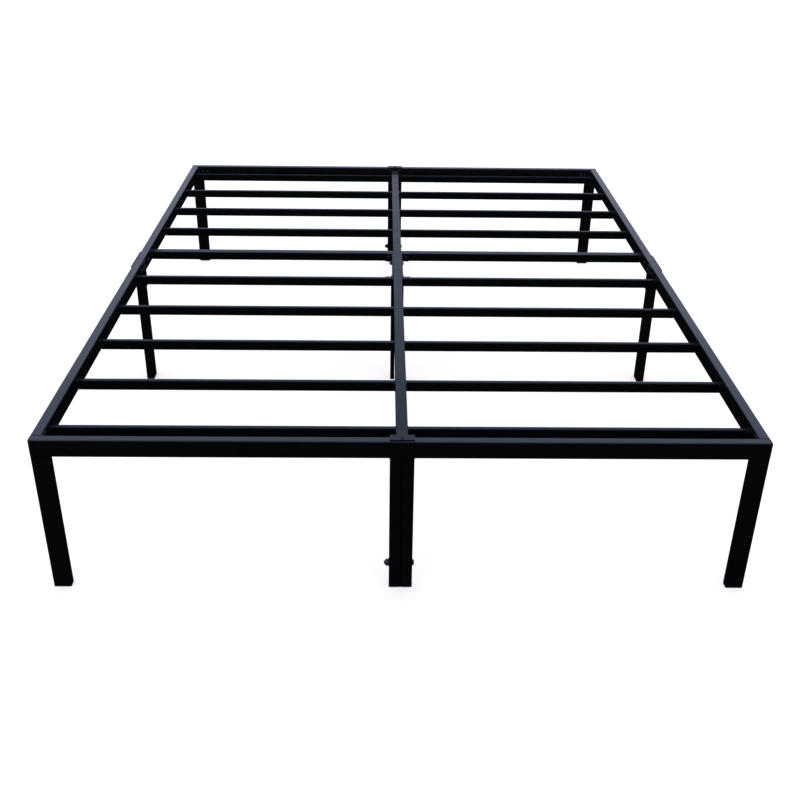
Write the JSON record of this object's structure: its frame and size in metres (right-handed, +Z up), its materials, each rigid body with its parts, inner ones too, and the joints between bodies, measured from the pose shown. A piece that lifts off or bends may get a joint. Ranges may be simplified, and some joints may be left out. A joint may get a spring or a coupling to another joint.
{
  "type": "metal bed frame",
  "caption": "Low black steel platform bed frame with box-tube perimeter rails, crosswise slats in two bays, a centre rail and capped legs.",
  "frame": {"origin": "on the floor, under the middle of the frame", "axes": "+X across the bed to the right when seen from the foot end, +Y from the foot end to the head end, +Z up"},
  "size_m": [1.5509, 2.032, 0.3798],
  "materials": {
    "black_steel": "satin black powder coat on welded steel tube",
    "black_brackets": "satin black powder coat on pressed steel plate",
    "black_fasteners": "black-coated steel screws, bolts, nuts and washers",
    "black_plastic": "moulded black polyethylene caps"
  },
  "bodies": {
    "root": {"bracket_screws": "black_fasteners", "centre_post_bolts": "black_fasteners", "centre_post_plates": "black_brackets", "centre_rail_foot": "black_steel", "centre_rail_head": "black_steel", "centre_rail_insert": "black_brackets", "centre_saddle": "black_brackets", "corner_brackets_foot": "black_brackets", "corner_brackets_head": "black_brackets", "foot_caps_centre_posts": "black_plastic", "foot_caps_corner": "black_plastic", "foot_caps_middle": "black_plastic", "foot_rail": "black_steel", "frame_bolts": "black_fasteners", "head_rail": "black_steel", "hex_nuts": "black_fasteners", "leg_foot_centre_left": "black_steel", "leg_foot_centre_right": "black_steel", "leg_foot_left": "black_steel", "leg_foot_right": "black_steel", "leg_head_centre_left": "black_steel", "leg_head_centre_right": "black_steel", "leg_head_left": "black_steel", "leg_head_right": "black_steel", "leg_middle_centre_left": "black_steel", "leg_middle_centre_right": "black_steel", "leg_middle_left": "black_steel", "leg_middle_right": "black_steel", "middle_leg_plates": "black_brackets", "rail_end_caps": "black_plastic", "side_joint_plates": "black_brackets", "side_joint_screws": "black_fasteners", "side_rail_inserts": "black_brackets", "side_rail_left_foot": "black_steel", "side_rail_left_head": "black_steel", "side_rail_right_foot": "black_steel", "side_rail_right_head": "black_steel", "slat_left_01": "black_steel", "slat_left_02": "black_steel", "slat_left_03": "black_steel", "slat_left_04": "black_steel", "slat_left_05": "black_steel", "slat_left_06": "black_steel", "slat_left_07": "black_steel", "slat_left_08": "black_steel", "slat_left_09": "black_steel", "slat_left_10": "black_steel", "slat_right_01": "black_steel", "slat_right_02": "black_steel", "slat_right_03": "black_steel", "slat_right_04": "black_steel", "slat_right_05": "black_steel", "slat_right_06": "black_steel", "slat_right_07": "black_steel", "slat_right_08": "black_steel", "slat_right_09": "black_steel", "slat_right_10": "black_steel", "tee_plate_screws": "black_fasteners", "tee_plates": "black_brackets", "washers": "black_fasteners"}
  },
  "joints": []
}
